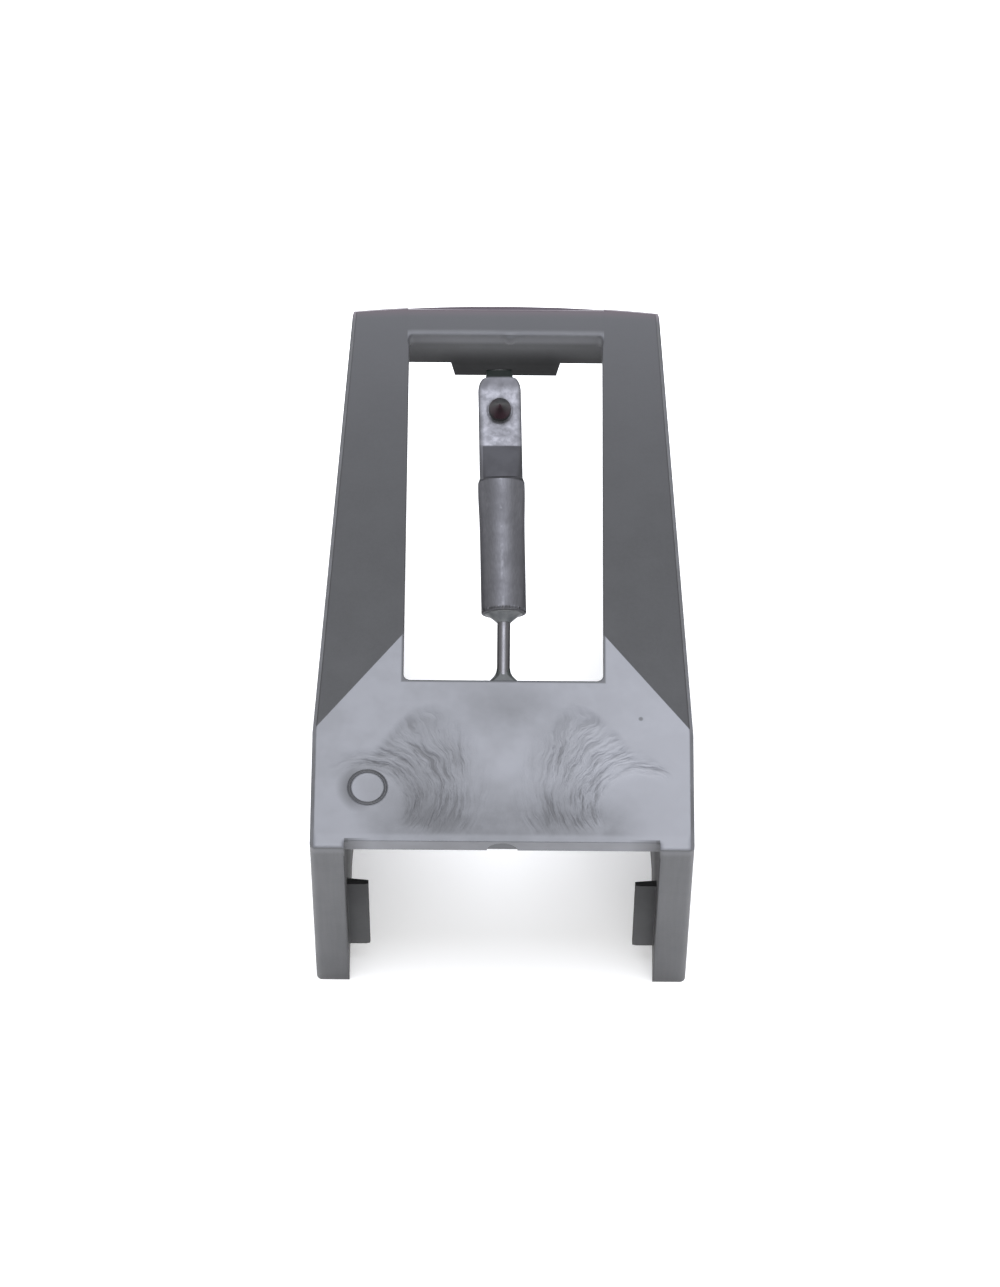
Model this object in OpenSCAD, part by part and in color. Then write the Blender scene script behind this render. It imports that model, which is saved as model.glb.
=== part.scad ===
// Replacement stylus for a ceramic record-player cartridge.
// A one-piece plastic holder clips over the cartridge. A steel wire held in the
// edge of its plate carries an aluminium tube, whose flattened end holds the tip.
// +Z is the side that faces the record, +Y is the end nearest the tip.

/* [Holder] */
// Width over the side walls at the back
holder_w = 10.5; // [10:0.1:11]
// Width over the side walls at the front
front_w = 8.8; // [8.6:0.1:9.4]
// Length from the ends of the side walls to the front
holder_l = 17.82; // [17.5:0.02:18.2]
// Height from the rims of the side walls to the plate
holder_h = 8.3; // [7.8:0.1:8.8]
// Length of the back part, where the sides are parallel
shoulder_l = 3.6; // [3.2:0.1:4]
// Thickness of the side walls
wall_t = 0.94; // [0.85:0.01:1]
// Thickness of the plate and of the rails beside the window
plate_t = 0.52; // [0.48:0.02:0.6]
// How far the plate stops short of the ends of the side walls
plate_setback = 0.22; // [0.15:0.01:0.3]
// Fall of the rails towards the front, in degrees
rail_fall = 2.86; // [2.4:0.02:3.2]
// Fall of the rails towards their outer edges, in degrees
rail_lean = 3.58; // [3:0.02:4]
// How far the front edge bows out
front_bow = 0.13; // [0.08:0.01:0.2]
// Size of the bevel round the outer top edges
edge_bevel = 0.1; // [0.06:0.01:0.12]
// Length over which the rims of the side walls lie level
rim_l = 9.6; // [9:0.1:10.5]

/* [Window] */
// Width of the window that the tip looks through
window_w = 5.54; // [5.3:0.02:5.6]
// Distance from the ends of the side walls to the window
window_y = 5.22; // [5:0.02:5.4]
// Radius of the window's back corners
window_r = 0.2; // [0.12:0.02:0.4]

/* [Front wall] */
// Thickness of the front wall at the corners
front_wall_t = 0.92; // [0.8:0.01:1]
// Depth of the front wall at its inner face
front_wall_h = 1.52; // [1.3:0.02:1.7]
// Depth of the tab in the middle of the front wall
tab_h = 2.21; // [2.1:0.01:2.4]
// Width of the tab at its lower edge
tab_w = 2.94; // [2.6:0.02:3.2]
// How far each side of the tab slopes out
tab_flare = 0.11; // [0.06:0.01:0.2]

/* [Snap lugs] */
// How far each lug stands off its wall
lug_out = 0.6; // [0.45:0.01:0.62]
// Height of each lug
lug_h = 3.9; // [3.4:0.1:4.1]
// Distance from the plate's face down to the lugs
lug_drop = 3.1; // [2.9:0.1:3.3]
// Distance of the lugs from the ends of the side walls
lug_y = 0.6; // [0.5:0.05:0.8]
// Length of each lug along its wall
lug_l = 1.5; // [1.2:0.1:1.8]

/* [Suspension wire] */
// Diameter of the wire
wire_d = 0.32; // [0.28:0.01:0.34]
// Upward slope of the wire and the tube, in degrees
rise = 16; // [14:0.5:18]
// Depth of the wire below the plate's face where it leaves the plate
wire_drop = 0.25; // [0.24:0.01:0.28]
// Length of wire held in the holder
wire_in_holder = 2.1; // [1.8:0.1:2.2]
// Length of wire held in the plug
wire_in_plug = 1.2; // [1:0.1:1.4]

/* [Cantilever tube] */
// Distance along the wire from the plate to the tube
tube_from = 2.02; // [1.9:0.02:2.2]
// Outside diameter of the tube
tube_d = 1.25; // [1.2:0.01:1.3]
// Bore of the tube
tube_bore = 0.93; // [0.88:0.01:0.96]
// Length of the round part
tube_l = 3.74; // [3.4:0.02:4]
// Length over which the tube is pressed flat
press_l = 1.04; // [0.9:0.02:1.2]
// Length of the flat blade up to its nose
blade_l = 2; // [1.9:0.02:2.1]
// Width of the flat blade
blade_w = 1.2; // [1.1:0.01:1.25]
// Thickness of the flat blade
blade_t = 0.3; // [0.26:0.01:0.34]
// Width of the nose of the blade
nose_w = 0.76; // [0.6:0.02:0.9]
// Length of the turned-down nose
nose_l = 0.28; // [0.2:0.01:0.32]
// Sideways lean of the tube on its wire, in degrees
tube_lean = 1.5; // [0:0.1:1.8]

/* [Tip] */
// Diameter of the jewel
tip_d = 0.62; // [0.55:0.01:0.66]
// Distance from the start of the blade to the middle of the jewel
tip_from = 1.02; // [0.9:0.02:1.1]
// Height of the jewel's straight side above the blade
tip_side = 0.25; // [0.15:0.01:0.3]
// Height of the jewel's cone
tip_cone = 0.46; // [0.4:0.01:0.55]
// Radius of the ball end that rides in the groove
tip_ball = 0.02; // [0.015:0.001:0.03]

/* [Hidden] */
$fn = 64;
// overlap that lets a cut pass its face
eps = 0.5;
half_w = holder_w / 2;
half_front = front_w / 2;
front_y = holder_l - front_bow;
window_end = front_y - front_wall_t;
bow_r = (half_front * half_front + front_bow * front_bow) / (2 * front_bow);
side_turn = atan((half_w - half_front) / (front_y - shoulder_l));
corner_r = 0.16;
// where the crease between plate and rails meets the window's edge
crease_y = shoulder_l + (half_w - window_w / 2) * tan(rail_lean) / tan(rail_fall);
// height of the top face at the window's front edge
bar_z = holder_h - (window_end - crease_y) * tan(rail_fall);
front_wall_z = bar_z - front_wall_h;
tab_z = bar_z - tab_h;
// height of the outer top edge at the front corners
corner_z = holder_h - (front_y - crease_y) * tan(rail_fall)
    - (half_front - window_w / 2) * tan(rail_lean);
inner_w = half_w - wall_t;
inner_front = half_front - wall_t / cos(side_turn)
    + (front_y - window_end) * tan(side_turn);
rim_r = 1.6;
web_r = 0.7;
rim_rise_end = window_end - 0.35;
boss_w = 1.1;
boss_back = 2.85;
boss_wall = 0.3;
gate_r = 0.42;
gate_in = 0.04;
pin_mark = [-3.7, 1.865];
pin_mark_d = 1.1;
pin_groove_r = 0.07;
witness_r = 0.26;
witness_out = 0.07;
witness_h = 0.4;
bead_d = 0.7;
bead_l = 0.36;
plug_in = 1.7;
plug_tail = 0.25;
plug_tail_d = 0.42;
plug_mouth_d = 0.91;
wire_free = tube_from - plug_tail;
press_from = tube_from + tube_l;
blade_from = press_from + press_l;
blade_end = blade_from + blade_l;
tip_y = blade_from + tip_from;

// Points that round the corner b of the path a, b, c with radius r
function unit(v) = v / norm(v);
function corner(a, b, c, r, n = 8) =
    let (
        u = unit(a - b),
        v = unit(c - b),
        half = acos(u * v) / 2,
        m = b + unit(u + v) * r / sin(half),
        from = b + u * r / tan(half) - m,
        to = b + v * r / tan(half) - m,
        turn = 180 - 2 * half,
        way = sign(from.x * to.y - from.y * to.x)
    )
    [for (i = [0:n]) let (t = way * turn * i / n)
        m + [from.x * cos(t) - from.y * sin(t), from.x * sin(t) + from.y * cos(t)]];

// Children and their mirror image in the plane x = 0
module both_sides() {
    children();
    mirror([1, 0, 0])
        children();
}

// Outline of the holder, seen from above
module plan_outline() {
    back = [half_w, 0];
    kink = [half_w, shoulder_l];
    front = [half_front, front_y + front_bow];
    both_sides()
        polygon(concat([[-1, 0]],
            corner([-1, 0], back, kink, corner_r),
            [kink],
            corner(kink, front, [-1, front.y], 2 * corner_r),
            [[-1, front.y]]));
}

// Block with the holder's outline, whose front edge bows out
module plan_block() {
    intersection() {
        linear_extrude(height = holder_h)
            plan_outline();
        translate([0, holder_l - bow_r, -eps])
            cylinder(r = bow_r, h = holder_h + 2 * eps, $fn = 720);
    }
}

// Everything above the sloping faces of the rails and the front bar
module above_rails(drop = 0) {
    big = 30;
    turn_x = -rail_fall;
    turn_y = atan(tan(rail_lean) * cos(rail_fall));
    both_sides()
        translate([window_w / 2, crease_y, holder_h - drop])
            rotate([turn_x, 0, 0])
                rotate([0, turn_y, 0])
                    translate([0, -big, 0])
                        cube([big, 2 * big, big]);
    translate([-big, crease_y, holder_h - drop])
        rotate([turn_x, 0, 0])
            cube([2 * big, big, big]);
}

// A square rod laid along an edge, to bevel it
module edge_rod(from, to, size) {
    run = to - from;
    flat = norm([run.x, run.y]);
    translate(from)
        rotate([0, atan2(flat, run.z), atan2(run.y, run.x)])
            translate([0, 0, -0.05])
                cylinder(r = size, h = norm(run) + 0.1, $fn = 4);
}

// Bevels round the outer top edges
module top_bevels() {
    back = [half_w, -eps, holder_h];
    kink = [half_w, shoulder_l, holder_h];
    front = [half_front, front_y, corner_z];
    side_drop = (half_front - window_w / 2) * tan(rail_lean);
    bar_edge = [window_w / 2, front_y + front_bow * 0.6, corner_z + side_drop];
    both_sides() {
        edge_rod(back, kink, edge_bevel);
        edge_rod(kink, front, edge_bevel);
        edge_rod(front, bar_edge, edge_bevel);
    }
    edge_rod([-bar_edge.x, bar_edge.y, bar_edge.z],
        bar_edge, edge_bevel * 1.4);
}

// Space between the side walls, under the plate and rails
module inner_space() {
    back = [inner_w, -eps];
    kink = [inner_w, shoulder_l];
    front = [inner_front, window_end];
    difference() {
        translate([0, 0, -eps])
            linear_extrude(height = holder_h + eps - plate_t)
                both_sides()
                    polygon(concat([[-1, -eps]], [back, kink],
                        corner(kink, front, [-1, window_end], 0.4),
                        [[-1, window_end]]));
        above_rails(plate_t);
    }
}

// What is cut away below the rising rims and the shallow front wall
module below_rims() {
    level = [-eps, 0];
    knee = [rim_l, 0];
    web = [rim_rise_end, front_wall_z];
    end = [holder_l + 1, front_wall_z];
    rotate([90, 0, 90])
        translate([0, 0, -half_w - 1])
            linear_extrude(height = holder_w + 2)
                polygon(concat([[rim_l - rim_r, -1], [rim_l - rim_r, 0]],
                    corner(level, knee, web, rim_r),
                    corner(knee, web, end, web_r),
                    [end, [end.x, -1]]));
}

// Tab in the middle of the front wall, with its mould witness
module front_tab() {
    top = front_wall_z + 0.3;
    bottom = tab_z;
    low = tab_w / 2;
    high = low + tab_flare * (top - bottom) / (front_wall_z - bottom);
    translate([0, holder_l - 0.2, 0])
        rotate([90, 0, 0])
            linear_extrude(height = holder_l - 0.2 - window_end)
                polygon([[-low, bottom], [low, bottom], [high, top], [-high, top]]);
    translate([witness_r / 2, window_end + witness_r - witness_out, bar_z - witness_h])
        cylinder(r = witness_r, h = witness_h - 0.04);
}

// Lug that snaps into the groove in the side of the cartridge
module snap_lug() {
    lead = 0.22;
    root = inner_w + 0.2;
    face = inner_w - lug_out;
    translate([0, 0, holder_h - lug_drop - lug_h])
        linear_extrude(height = lug_h)
            polygon([[root, lug_y], [face + lead / 2, lug_y], [face, lug_y + lead],
                [face, lug_y + lug_l - lead], [inner_w, lug_y + lug_l + lug_out / 2],
                [root, lug_y + lug_l + lug_out / 2]]);
}

// Rib under the plate that holds the wire
module wire_boss() {
    fall = tan(rise);
    back_axis = holder_h - wire_drop - (window_y - boss_back) * fall;
    reach = wire_d / 2 + boss_wall;
    rotate([90, 0, 90])
        translate([0, 0, -boss_w / 2])
            linear_extrude(height = boss_w)
                polygon([[boss_back, back_axis - reach],
                    [window_y, holder_h - wire_drop - reach],
                    [window_y, holder_h - plate_t / 2],
                    [boss_back, holder_h - plate_t / 2]]);
}

// Children are placed where the wire leaves the plate, with +Y along the wire
module on_wire() {
    translate([0, window_y, holder_h - wire_drop])
        rotate([rise, 0, 0])
            children();
}

// Children are placed on the tube's own axis, which leans a little sideways
module on_tube() {
    on_wire()
        translate([0, tube_from, 0])
            rotate([0, 0, tube_lean])
                translate([0, -tube_from, 0])
                    children();
}

// A round rod along +Y
module rod(d, from, to) {
    translate([0, from, 0])
        rotate([-90, 0, 0])
            cylinder(d = d, h = to - from);
}

// Window with rounded back corners
module window_hole() {
    half = window_w / 2;
    translate([0, 0, -eps])
        linear_extrude(height = holder_h + 2 * eps)
            both_sides()
                polygon(concat([[-1, window_y]],
                    corner([-1, window_y], [half, window_y], [half, window_end], window_r),
                    corner([half, window_y], [half, window_end], [-1, window_end],
                        corner_r / 2),
                    [[-1, window_end]]));
}

// Puts the middle of the holder's length at y = 0
module centred() {
    translate([0, -holder_l / 2, 0])
        children();
}

// One plastic moulding: plate, rails, front bar, side walls, lugs and tab
module holder_frame() {
    color([0.52, 0.53, 0.56])
        centred()
            difference() {
                union() {
                    difference() {
                        plan_block();
                        above_rails();
                        top_bevels();
                        inner_space();
                        window_hole();
                        below_rims();
                        translate([-inner_w, -eps, holder_h - plate_t - 0.1])
                            cube([2 * inner_w, eps + plate_setback, 1]);
                    }
                    front_tab();
                    both_sides()
                        snap_lug();
                    wire_boss();
                }
                on_wire()
                    rod(wire_d, -wire_in_holder, eps);
                // scar left by the half-round gate
                translate([0, plate_setback - eps, holder_h - plate_t])
                    rotate([-90, 0, 0])
                        cylinder(r = gate_r, h = eps + gate_in);
                // ring left by an ejector pin
                translate([pin_mark.x, pin_mark.y, holder_h])
                    rotate_extrude()
                        translate([pin_mark_d / 2, 0])
                            circle(r = pin_groove_r, $fn = 24);
            }
}

// Bead of adhesive round the wire at the plate's edge
module anchor_bead() {
    color([0.27, 0.29, 0.29])
        centred()
            difference() {
                on_wire()
                    difference() {
                        translate([0, -bead_l, 0])
                            rotate([-90, 0, 0])
                                cylinder(d1 = bead_d * 1.6, d2 = wire_d + 0.06, h = 2 * bead_l);
                        rod(wire_d, -1, 1);
                    }
                translate([-holder_w / 2, window_y - holder_w, 0])
                    cube([holder_w, holder_w, 2 * holder_h]);
            }
}

// Straight steel wire on which the tube flexes
module suspension_wire() {
    color([0.66, 0.66, 0.69])
        centred()
            on_wire()
                rod(wire_d, -wire_in_holder, tube_from + wire_in_plug);
}

// Plug that holds the wire in the mouth of the tube
module tube_plug() {
    mouth = tube_from - 0.02;
    color([0.36, 0.37, 0.38])
        centred()
            difference() {
                on_tube()
                    rotate([-90, 0, 0])
                        rotate_extrude()
                            polygon([[0, wire_free], [plug_tail_d / 2, wire_free],
                                [plug_mouth_d / 2, mouth],
                                [tube_bore / 2, tube_from],
                                [tube_bore / 2, tube_from + plug_in],
                                [0, tube_from + plug_in]]);
                on_wire()
                    rod(wire_d, 0, tube_from + wire_in_plug);
            }
}

// Section of the flat blade, with rounded edges, laid along +Y
module blade_section(from, to, trim = 0) {
    side = (blade_w - blade_t) / 2 - trim;
    translate([0, from, 0])
        rotate([-90, 0, 0])
            linear_extrude(height = to - from)
                both_sides() {
                    translate([-0.01, -blade_t / 2])
                        square([side + 0.01, blade_t]);
                    translate([side, 0])
                        circle(d = blade_t, $fn = 32);
                }
}

// Outline of the blade from above, with rounded shoulders at the nose
module blade_plan() {
    shoulder = 0.4;
    half = blade_w / 2 + 0.05;
    side = [half, blade_end - shoulder];
    nose = [nose_w / 2, blade_end];
    translate([0, 0, -tube_d])
        linear_extrude(height = 2 * tube_d)
            both_sides()
                polygon(concat([[-0.1, blade_from - 0.2], [half, blade_from - 0.2]],
                    corner([half, blade_from], side, nose, 0.4),
                    corner(side, nose, nose + [0, 1], 0.1),
                    [[nose_w / 2, blade_end + nose_l],
                        [-0.1, blade_end + nose_l]]));
}

// Flat blade whose nose is turned down
module blade() {
    t = blade_t / 2;
    nose_end = blade_end + nose_l;
    difference() {
        intersection() {
            blade_section(blade_from - 0.1, nose_end);
            blade_plan();
        }
        rotate([90, 0, 90])
            translate([0, 0, -tube_d])
                linear_extrude(height = 2 * tube_d)
                    polygon([[blade_end, t], [nose_end, -t / 2], [nose_end + 1, -t / 2],
                        [nose_end + 1, 1], [blade_end, 1]]);
    }
}

// Aluminium tube, pressed flat at the end that holds the tip
module cantilever_tube() {
    bore_end = press_from - 0.1;
    color([0.72, 0.73, 0.76])
        centred()
            on_tube()
                difference() {
                    union() {
                        rod(tube_d, tube_from, press_from);
                        hull() {
                            rod(tube_d - 0.02, press_from - 0.02, press_from, $fn = 48);
                            blade_section(blade_from, blade_from + 0.02, 0.015);
                        }
                        blade();
                    }
                    rod(tube_bore, tube_from - 0.1, bore_end);
                    translate([0, tip_y, -tube_d])
                        cylinder(d = tip_d, h = 2 * tube_d);
                }
}

// Jewel with a straight shank, a cone and a ball end
module stylus_tip() {
    shank = blade_t / 2 + 0.12;
    base = blade_t / 2 + tip_side;
    top = base + tip_cone;
    r = tip_d / 2;
    half_angle = atan(r / tip_cone);
    // centre of the ball, and where the cone meets it
    ball_z = top - tip_ball / sin(half_angle);
    meet = [tip_ball * cos(half_angle), ball_z + tip_ball * sin(half_angle)];
    color([0.38, 0.08, 0.14])
        centred()
            on_tube()
                translate([0, tip_y, 0])
                    rotate_extrude()
                        polygon(concat([[0, -shank], [r - 0.05, -shank], [r, -shank + 0.05],
                            [r, base], meet],
                            [for (i = [1:4]) let (a = half_angle + i * (90 - half_angle) / 4)
                                [tip_ball * cos(a), ball_z + tip_ball * sin(a)]]));
}

holder_frame();
anchor_bead();
suspension_wire();
tube_plug();
cantilever_tube();
stylus_tip();
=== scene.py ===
"""Turntable stylus: the looks of a clip-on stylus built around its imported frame.

The file is laid out as an add-on. Every length inside the shape functions and the
materials' masks is in millimetres, and every finished mesh is in metres.
"""

import math

import bmesh
import bpy
import numpy as np
from mathutils import Matrix


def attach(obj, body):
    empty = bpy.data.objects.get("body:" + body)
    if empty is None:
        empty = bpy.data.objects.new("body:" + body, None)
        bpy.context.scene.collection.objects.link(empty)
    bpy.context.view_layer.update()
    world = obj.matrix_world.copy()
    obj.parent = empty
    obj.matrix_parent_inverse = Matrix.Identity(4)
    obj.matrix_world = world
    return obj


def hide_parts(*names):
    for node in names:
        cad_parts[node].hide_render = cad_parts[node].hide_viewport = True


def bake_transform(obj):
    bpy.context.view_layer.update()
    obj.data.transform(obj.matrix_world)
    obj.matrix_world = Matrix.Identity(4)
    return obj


bl_info = {
    "name": "Turntable Stylus",
    "version": (1, 0, 0),
    "blender": (4, 5, 0),
    "location": "3D View > Sidebar > Stylus",
    "description": "Builds a clip-on record player stylus with its materials and studio",
    "category": "Object",
}

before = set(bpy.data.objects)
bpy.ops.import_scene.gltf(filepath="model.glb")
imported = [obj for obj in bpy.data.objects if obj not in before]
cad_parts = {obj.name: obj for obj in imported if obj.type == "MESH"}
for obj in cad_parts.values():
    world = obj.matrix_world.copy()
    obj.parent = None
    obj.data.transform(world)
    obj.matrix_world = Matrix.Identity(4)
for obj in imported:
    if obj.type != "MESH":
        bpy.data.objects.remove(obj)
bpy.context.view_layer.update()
MM = 0.001

# Places on the holder, in mm from the middle of its length and from its rims
HOLDER_L = 17.82
BACK = -HOLDER_L / 2
FRONT = HOLDER_L / 2
PLATE_Z = 8.3
PLATE_BACK = BACK + 0.3
CHANNEL_HALF = 4.32
WINDOW_Y = BACK + 5.22
WINDOW_HALF = 2.77
WINDOW_END = BACK + 16.77
PIN_MARK = (-3.7, BACK + 1.865)
PIT = (3.8, BACK + 4.05)
FLOW_CENTRE = (3.7, BACK + 1.35)
GATE_DROP = 0.52

# The pin mark and the snap lugs: as they are in the frame, and as they are shown
GROOVE_R = 0.55
RING_R = 0.5
LUG_BACK = BACK + 0.6
LUG_LOW, LUG_H, LUG_L = 1.3, 3.9, 1.8
RIB_LOW, RIB_H, RIB_L, RIB_FALL = 1.12, 3.78, 0.25, 0.14

# The wire and the tube, in mm along the wire from where it leaves the plate
RISE = math.radians(16)
WIRE_EXIT = np.array([0.0, WINDOW_Y, PLATE_Z - 0.25])
ALONG = np.array([0.0, math.cos(RISE), math.sin(RISE)])
UP = np.array([0.0, -math.sin(RISE), math.cos(RISE)])
TUBE_FROM = 2.02
LEAN = math.radians(1.5)
PRESS_FROM = 5.76
BLADE_FROM = 6.8
BLADE_END = 8.8
NOSE_L = 0.28
NOSE_HALF = 0.38
SHOULDER_L = 0.42
BITE = 0.13
TIP_S = 7.82
BEAD_END = 0.36
TUBE_R = 0.625
BORE_R = 0.465
BLADE_HALF = 0.6
BLADE_THICK = 0.15
WIRE_MIDDLE = 1.07
PLUG_TAIL = 1.77

# The stage: the table's half width in metres, and the camera's roll, sensor and target in mm
TABLE_HALF = 3.0
ROLL = math.radians(0.44)
SENSOR = 36.0
TARGET = (-0.10, BACK + 6.39, PLATE_Z)


# ---------------------------------------------------------------- settings


def colour_setting(name, description, default):
    """A colour of three channels from 0 to 1."""
    limits = {"subtype": "COLOR", "size": 3, "min": 0.0, "max": 1.0}
    return bpy.props.FloatVectorProperty(
        name=name, description=description, default=default, **limits
    )


class HolderLook(bpy.types.PropertyGroup):
    """Sizes and colours of the plastic holder"""

    edge_radius: bpy.props.FloatProperty(
        name="Edge radius",
        description="Radius of the moulded edges",
        default=0.06 * MM,
        min=0.0,
        max=0.1 * MM,
        precision=5,
        unit="LENGTH",
    )
    plastic: colour_setting("Plastic", "Colour of the matt plastic", (0.012, 0.0123, 0.0137))
    plate: colour_setting("Plate", "Colour of the polished plate", (0.08, 0.083, 0.095))
    flow: bpy.props.FloatProperty(
        name="Flow marks",
        description="Strength of the flow marks that fan out from the gate",
        default=0.8,
        min=0.0,
        max=1.0,
        subtype="FACTOR",
    )


class ArmLook(bpy.types.PropertyGroup):
    """Sizes and colours of the wire, tube and jewel"""

    wire_width: bpy.props.FloatProperty(
        name="Wire",
        description="Diameter of the suspension wire",
        default=0.36 * MM,
        min=0.2 * MM,
        max=0.36 * MM,
        precision=5,
        unit="LENGTH",
    )
    aluminium: colour_setting("Aluminium", "Colour of the drawn tube", (0.112, 0.112, 0.122))
    steel: colour_setting("Steel", "Colour of the wire", (0.12, 0.118, 0.125))
    jewel: colour_setting("Jewel", "Colour of the tip", (0.009, 0.003, 0.005))


class StageLook(bpy.types.PropertyGroup):
    """Camera, lamps and floor"""

    lens: bpy.props.FloatProperty(
        name="Lens",
        description="Focal length of the camera in millimetres",
        default=163.2,
        min=50.0,
        max=300.0,
    )
    distance: bpy.props.FloatProperty(
        name="Distance",
        description="Distance from the camera to the plate",
        default=162.0 * MM,
        min=0.05,
        max=1.0,
        unit="LENGTH",
    )
    tilt: bpy.props.FloatProperty(
        name="Tilt",
        description="Angle between the camera's view and straight down",
        default=math.radians(28.84),
        unit="ROTATION",
    )
    overhead: bpy.props.FloatProperty(
        name="Overhead lamp",
        description="Brightness of the soft lamp above the plate",
        default=7.6,
        min=0.0,
    )
    room: bpy.props.FloatProperty(
        name="Room light",
        description="Brightness of the room around the stylus",
        default=1.0,
        min=0.0,
    )


# ---------------------------------------------------------------- meshes


def new_piece(name, points, faces, smooth=True):
    """Puts points (n by 3, in mm) and a list of faces into a new mesh object at the origin."""
    mesh = bpy.data.meshes.new(name)
    mesh.from_pydata((points * MM).tolist(), [], faces)
    mesh.polygons.foreach_set("use_smooth", np.full(len(mesh.polygons), smooth))
    mesh.update()
    piece = bpy.data.objects.new(name, mesh)
    bpy.context.scene.collection.objects.link(piece)
    return piece


def ring_faces(rings, around):
    """Quads between neighbouring rings, each with the same number of points around it."""
    i, j = np.meshgrid(np.arange(rings - 1), np.arange(around), indexing="ij")
    k = (j + 1) % around
    quads = [i * around + j, i * around + k, (i + 1) * around + k, (i + 1) * around + j]
    return np.stack(quads, axis=-1).reshape(-1, 4)


def close_rings(name, grid, flip=False):
    """A closed skin over a grid (rings, around, 3) whose first and last rings shrink to points.

    A point in the middle of the first and last rings closes each end with a fan of triangles.
    """
    rings, around, _ = grid.shape
    points = np.vstack([grid.reshape(-1, 3), grid[0].mean(0), grid[-1].mean(0)])
    j = np.arange(around)
    k = (j + 1) % around
    first, last = rings * around, rings * around + 1
    base = (rings - 1) * around
    start = np.stack([np.full(around, first), k, j], axis=-1)
    end = np.stack([np.full(around, last), base + j, base + k], axis=-1)
    faces = ring_faces(rings, around).tolist() + start.tolist() + end.tolist()
    if flip:
        faces = [face[::-1] for face in faces]
    return new_piece(name, points, faces)


def on_wire(x, s, n):
    """Takes x sideways, s along the wire and n above it to the holder's own axes."""
    return (
        WIRE_EXIT
        + x[..., None] * np.array([1.0, 0.0, 0.0])
        + s[..., None] * ALONG
        + n[..., None] * UP
    )


def on_tube(x, s, n):
    """As on_wire, with a small turn about the tube's mouth, because the tube leans sideways."""
    c, d = math.cos(LEAN), math.sin(LEAN)
    return on_wire(x * c - (s - TUBE_FROM) * d, TUBE_FROM + x * d + (s - TUBE_FROM) * c, n)


def revolved(profile, around, place):
    """A profile of (s, radius) pairs turned about the wire's or the tube's axis."""
    s, r = np.array(profile).T
    turn = np.linspace(0, 2 * np.pi, around, endpoint=False)
    x = r[:, None] * np.cos(turn)
    n = r[:, None] * np.sin(turn)
    return place(x, np.repeat(s[:, None], around, axis=1), n)


def arc_profile(s, r, radius, start, end, steps):
    """Points of an arc in a profile: centre (s, r), from one angle to another in degrees."""
    a = np.radians(np.linspace(start, end, steps))
    return [(s + radius * math.sin(t), r + radius * math.cos(t)) for t in a]


# ---------------------------------------------------------------- node helpers


class Graph:
    """Short ways to add and join the nodes of one material or node group."""

    def __init__(self, tree):
        self.nodes = tree.nodes
        self.links = tree.links

    def add(self, kind, inputs=None, **settings):
        node = self.nodes.new(kind)
        for key, value in settings.items():
            setattr(node, key, value)
        for key, value in (inputs or {}).items():
            self.feed(node.inputs[key], value)
        return node

    def feed(self, socket, value):
        if isinstance(value, bpy.types.NodeSocket):
            self.links.new(value, socket)
        elif isinstance(value, bpy.types.Node):
            self.links.new(value.outputs[0], socket)
        else:
            socket.default_value = value

    def math(self, operation, first, *others, clamp=False):
        """A math node, or a chain of them from left to right where there are more values."""
        for other in others or (0.0,):
            node = self.add("ShaderNodeMath", operation=operation, use_clamp=clamp)
            self.feed(node.inputs[0], first)
            self.feed(node.inputs[1], other)
            first = node.outputs[0]
        return first

    def times(self, *values):
        return self.math("MULTIPLY", *values)

    def plus(self, *values, clamp=False):
        return self.math("ADD", *values, clamp=clamp)

    def minus(self, a, b):
        return self.math("SUBTRACT", a, b)

    def over(self, a, b):
        return self.math("DIVIDE", a, b)

    def most(self, *values):
        return self.math("MAXIMUM", *values)

    def size(self, a):
        return self.math("ABSOLUTE", a)

    def below(self, a, b):
        return self.math("LESS_THAN", a, b)

    def above(self, a, b):
        return self.math("GREATER_THAN", a, b)

    def squares(self, a, b):
        return self.plus(self.times(a, a), self.times(b, b))

    def length(self, a, b):
        return self.math("SQRT", self.squares(a, b))

    def mix(self, factor, a, b):
        node = self.add("ShaderNodeMix", data_type="RGBA")
        self.feed(node.inputs[0], factor)
        self.feed(node.inputs[6], a)
        self.feed(node.inputs[7], b)
        return node.outputs[2]

    def span(self, value, low, high, to_low=0.0, to_high=1.0, smooth=False):
        node = self.add("ShaderNodeMapRange")
        node.interpolation_type = "SMOOTHSTEP" if smooth else "LINEAR"
        for key, v in zip(range(5), (value, low, high, to_low, to_high)):
            self.feed(node.inputs[key], v)
        return node.outputs[0]

    def noise(self, vector, scale, detail=2.0, rough=0.5):
        return self.add(
            "ShaderNodeTexNoise",
            {"Vector": vector, "Scale": scale, "Detail": detail, "Roughness": rough},
        ).outputs["Fac"]


def millimetres(graph):
    """Object coordinates in millimetres, as a vector and as X, Y and Z."""
    where = graph.add("ShaderNodeTexCoord").outputs["Object"]
    scaled = graph.add("ShaderNodeMapping", {"Vector": where, "Scale": (1000, 1000, 1000)})
    parts = graph.add("ShaderNodeSeparateXYZ", {"Vector": scaled})
    return scaled.outputs[0], tuple(parts.outputs)


def new_group(name, inputs, outputs):
    """An empty shader node group with named sockets, as a Graph with its input and output."""
    tree = bpy.data.node_groups.new(name, "ShaderNodeTree")
    for label, kind, default in inputs:
        socket = tree.interface.new_socket(label, in_out="INPUT", socket_type=kind)
        if default is not None:
            socket.default_value = default
    for label, kind in outputs:
        tree.interface.new_socket(label, in_out="OUTPUT", socket_type=kind)
    graph = Graph(tree)
    return graph, graph.add("NodeGroupInput"), graph.add("NodeGroupOutput")


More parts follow.
